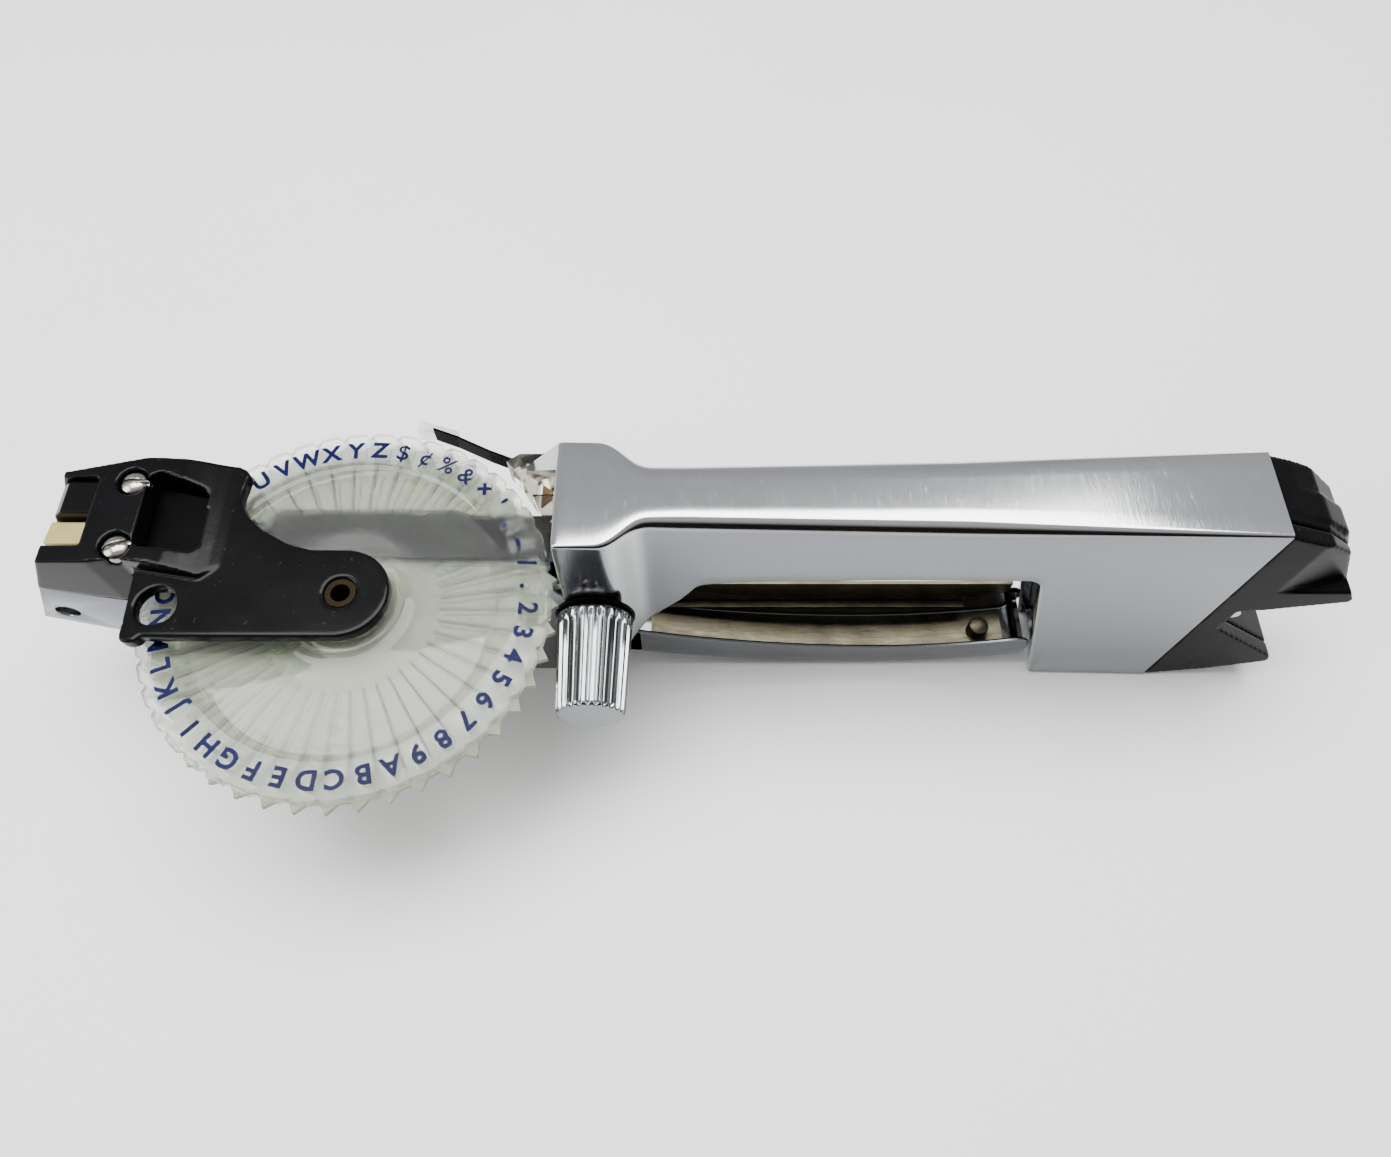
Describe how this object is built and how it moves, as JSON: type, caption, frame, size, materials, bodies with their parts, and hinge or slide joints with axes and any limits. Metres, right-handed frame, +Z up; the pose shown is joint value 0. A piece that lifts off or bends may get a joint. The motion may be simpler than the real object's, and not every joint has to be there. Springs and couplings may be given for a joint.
{
  "type": "embossing label maker",
  "caption": "Hand-held embossing label maker with a flat character wheel, chrome handle, squeeze trigger, fluted feed knob and rear tape magazine.",
  "frame": {"origin": "on the flat underside of the heel, in the tool's centre plane, 163 mm behind the character wheel's axis", "axes": "+X from the nose towards the tape magazine, +Z up from the table, +Y away from the feed knob's side"},
  "size_m": [0.2766, 0.0868, 0.0675],
  "materials": {
    "chrome": "polished",
    "steel": "satin",
    "brass": "satin",
    "black_enamel": "semi-gloss",
    "black_plastic": "satin",
    "cream_nylon": "satin",
    "pale_plastic": "gloss",
    "clear_plastic": "gloss",
    "smoky_plastic": "gloss",
    "tape_plastic": "gloss",
    "rubber": "matt"
  },
  "bodies": {
    "frame": {"body_housing": "chrome", "channel_floor": "steel", "front_chassis": "chrome", "head_yoke": "black_enamel", "head_screws": "steel", "chassis_screws": "steel", "nose_screw": "steel", "anvil_block": "black_enamel", "exit_pad": "cream_nylon", "wheel_axle": "brass", "axle_clip": "steel", "tape_guide": "steel", "tape_nozzle": "smoky_plastic", "tape_leaf": "brass", "detent_spring": "black_enamel", "detent_shoe": "clear_plastic", "tape_strip": "tape_plastic", "trigger_pin": "steel", "lever_pin": "steel", "pinch_pin": "steel", "shaft_bushes": "brass", "knob_collar": "black_plastic", "heel_rivets": "steel", "trigger_spring": "steel", "cutter_spring": "steel"},
    "wheel": {"upper_die_wheel": "clear_plastic", "lower_die_wheel": "pale_plastic", "wheel_hub": "pale_plastic"},
    "trigger": {"trigger_lever": "chrome", "trigger_stud": "steel"},
    "press_arm": {"press_lever": "steel"},
    "hammer": {"punch_hammer": "steel"},
    "knob": {"feed_knob": "chrome", "feed_shaft": "steel", "shaft_clip": "steel", "feed_roller": "rubber"},
    "pinch": {"pinch_roller": "brass"},
    "cutter": {"cutter_button": "black_plastic", "cutter_blade": "steel"},
    "magazine": {"magazine_case": "black_plastic", "magazine_cover": "black_plastic", "magazine_screw": "steel", "notch_pin": "steel", "reel_axle": "steel"},
    "reel": {"reel_hub": "pale_plastic", "tape_roll": "tape_plastic"}
  },
  "joints": [
    {"name": "wheel_turn", "type": "hinge", "parent": "frame", "child": "wheel", "pos_m": [-0.163, -0.0153, 0.0495], "axis": [0, 0, 1], "continuous": true},
    {"name": "trigger_squeeze", "type": "hinge", "parent": "frame", "child": "trigger", "pos_m": [-0.1165, 0, 0.016], "axis": [0, -1, 0], "range_deg": [0, 6.5], "stiffness_Nm_per_rad": 4, "springref_deg": -8.59},
    {"name": "press_rock", "type": "hinge", "parent": "frame", "child": "press_arm", "pos_m": [-0.161, 0, 0.018], "axis": [0, 1, 0], "range_deg": [0, 2.65]},
    {"name": "hammer_lift", "type": "slide", "parent": "frame", "child": "hammer", "axis": [0, 0, 1], "range_m": [0, 0.0016]},
    {"name": "knob_turn", "type": "hinge", "parent": "frame", "child": "knob", "pos_m": [-0.1152, 0, 0.0394], "axis": [0, -1, 0], "continuous": true},
    {"name": "pinch_turn", "type": "hinge", "parent": "frame", "child": "pinch", "pos_m": [-0.1152, 0, 0.05285], "axis": [0, -1, 0], "continuous": true},
    {"name": "cutter_press", "type": "slide", "parent": "frame", "child": "cutter", "axis": [0, 0, -1], "range_m": [0, 0.0014], "stiffness_N_per_m": 900, "springref_m": -0.0015, "deforming": ["cutter_spring"]},
    {"name": "magazine_slide", "type": "slide", "parent": "frame", "child": "magazine", "axis": [1, 0, 0], "range_m": [0, 0.045]},
    {"name": "reel_turn", "type": "hinge", "parent": "magazine", "child": "reel", "pos_m": [0.002, 0, 0.0447], "axis": [0, -1, 0], "continuous": true}
  ],
  "couplings": [
    {"joint": "press_rock", "follows": "trigger_squeeze", "ratio": 0.4},
    {"joint": "hammer_lift", "follows": "trigger_squeeze", "m_per_rad": 0.0138},
    {"joint": "pinch_turn", "follows": "knob_turn", "ratio": -2.125},
    {"joint": "reel_turn", "follows": "knob_turn", "ratio": 0.4857}
  ]
}
